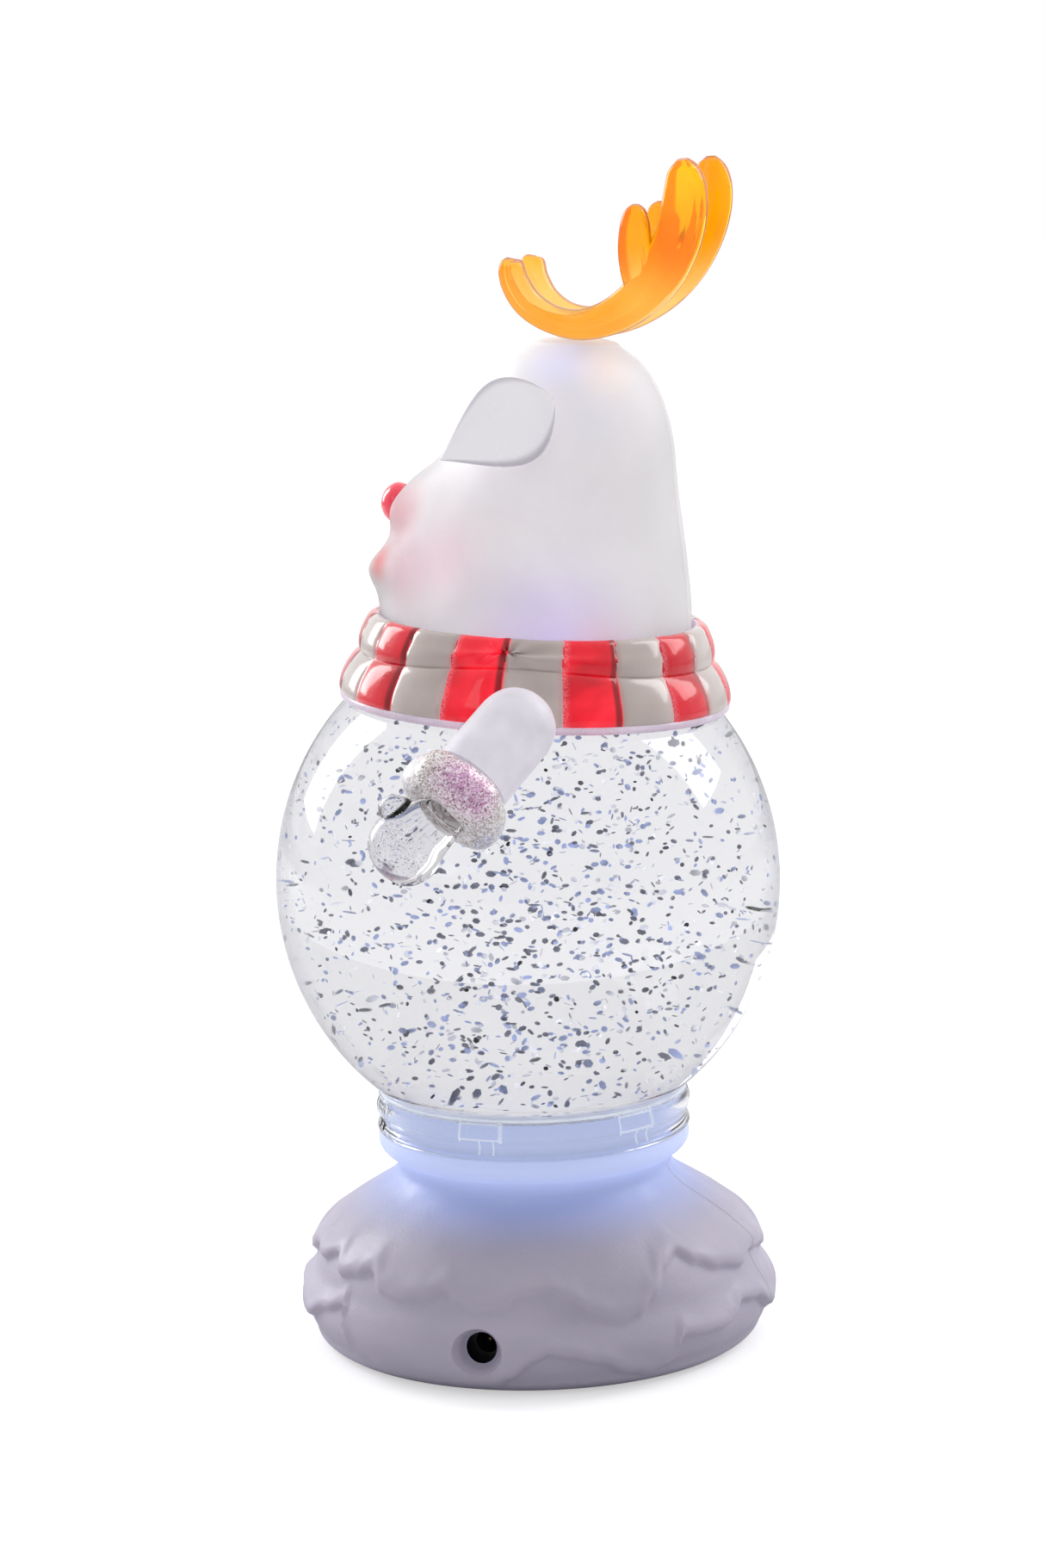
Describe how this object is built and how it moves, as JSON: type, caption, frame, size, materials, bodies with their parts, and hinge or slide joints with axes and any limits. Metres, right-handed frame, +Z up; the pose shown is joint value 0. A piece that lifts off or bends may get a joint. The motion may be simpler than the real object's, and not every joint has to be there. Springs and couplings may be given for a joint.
{
  "type": "glitter water globe lamp",
  "caption": "Reindeer-shaped glitter water globe lamp: snow-drift base with a stirring motor and light, twist-lock globe, checked scarf ring, hollow frosted head, amber antlers and clear hands.",
  "frame": {"origin": "on the table, under the middle of the base, on the globe's upright axis", "axes": "+Z up along the globe's axis, the figure faces -Y and its left side, with the power inlet, is +X"},
  "size_m": [0.1472, 0.11, 0.2571],
  "materials": {
    "snow_plastic": "matte translucent white",
    "cover_plastic": "matte",
    "clear_plastic": "clear polished",
    "liquid": "clear liquid with glitter flakes",
    "frosted_plastic": "frosted translucent",
    "ear_plastic": "satin translucent",
    "amber_plastic": "clear amber",
    "scarf_plastic": "painted red and grey-white blocks under gloss",
    "nose_plastic": "gloss translucent red",
    "glitter_coat": "fine silver glitter coat",
    "rubber": "matte",
    "steel": "plated",
    "brass": "polished",
    "black_plastic": "matte",
    "board": "satin",
    "led_lens": "clear lens",
    "cell_wrap": "printed film, plain",
    "magnet": "plated",
    "lead": "satin"
  },
  "bodies": {
    "base": {"base_shell": "snow_plastic", "bottom_cover": "cover_plastic", "rubber_foot_1": "rubber", "rubber_foot_2": "rubber", "rubber_foot_3": "rubber", "rubber_foot_4": "rubber", "cover_screw_1": "steel", "cover_screw_2": "steel", "cover_screw_3": "steel", "switch_body": "black_plastic", "control_board": "board", "dc_jack": "black_plastic", "jack_pin": "brass", "battery_box": "cover_plastic", "battery_cell_1": "cell_wrap", "battery_cell_2": "cell_wrap", "battery_cell_3": "cell_wrap", "battery_spring_1": "steel", "battery_spring_2": "steel", "battery_spring_3": "steel", "contact_plate_front": "steel", "contact_plate_rear": "steel", "motor_can": "steel", "motor_bracket": "cover_plastic", "motor_lead": "lead", "light_tray": "snow_plastic", "led_board": "board", "led_1": "led_lens", "led_2": "led_lens", "led_3": "led_lens", "led_4": "led_lens", "light_window": "clear_plastic"},
    "globe": {"globe_shell": "clear_plastic", "glitter_liquid": "liquid", "globe_plug": "clear_plastic", "plug_seal": "rubber", "impeller_cage": "clear_plastic", "globe_collar": "clear_plastic", "scarf_ring": "scarf_plastic", "head_left": "frosted_plastic", "head_right": "frosted_plastic", "nose": "nose_plastic", "ear_left": "ear_plastic", "ear_right": "ear_plastic", "antler_left": "amber_plastic", "antler_right": "amber_plastic", "sleeve_left": "frosted_plastic", "sleeve_right": "frosted_plastic", "cuff_left": "glitter_coat", "cuff_right": "glitter_coat", "hand_left": "clear_plastic", "hand_right": "clear_plastic"},
    "drive_rotor": {"motor_shaft": "steel", "magnet_carrier": "magnet"},
    "stirrer": {"impeller": "frosted_plastic", "impeller_magnet": "magnet"},
    "door": {"battery_door": "cover_plastic", "door_screw": "steel"},
    "switch": {"switch_knob": "black_plastic"}
  },
  "joints": [
    {"name": "globe_twist", "type": "hinge", "parent": "base", "child": "globe", "pos_m": [0, 0, 0.052], "axis": [0, 0, 1], "range_deg": [0, 18]},
    {"name": "motor_spin", "type": "hinge", "parent": "base", "child": "drive_rotor", "pos_m": [0, 0, 0.038], "axis": [0, 0, 1], "continuous": true},
    {"name": "stirrer_spin", "type": "hinge", "parent": "globe", "child": "stirrer", "pos_m": [0, 0, 0.055], "axis": [0, 0, 1], "continuous": true},
    {"name": "door_hinge", "type": "hinge", "parent": "base", "child": "door", "pos_m": [0, 0.027, 0.0008], "axis": [1, 0, 0], "range_deg": [0, 90]},
    {"name": "switch_slide", "type": "slide", "parent": "base", "child": "switch", "axis": [0, 1, 0], "range_m": [0, 0.004]}
  ],
  "couplings": [
    {"joint": "stirrer_spin", "follows": "motor_spin", "ratio": 1}
  ]
}
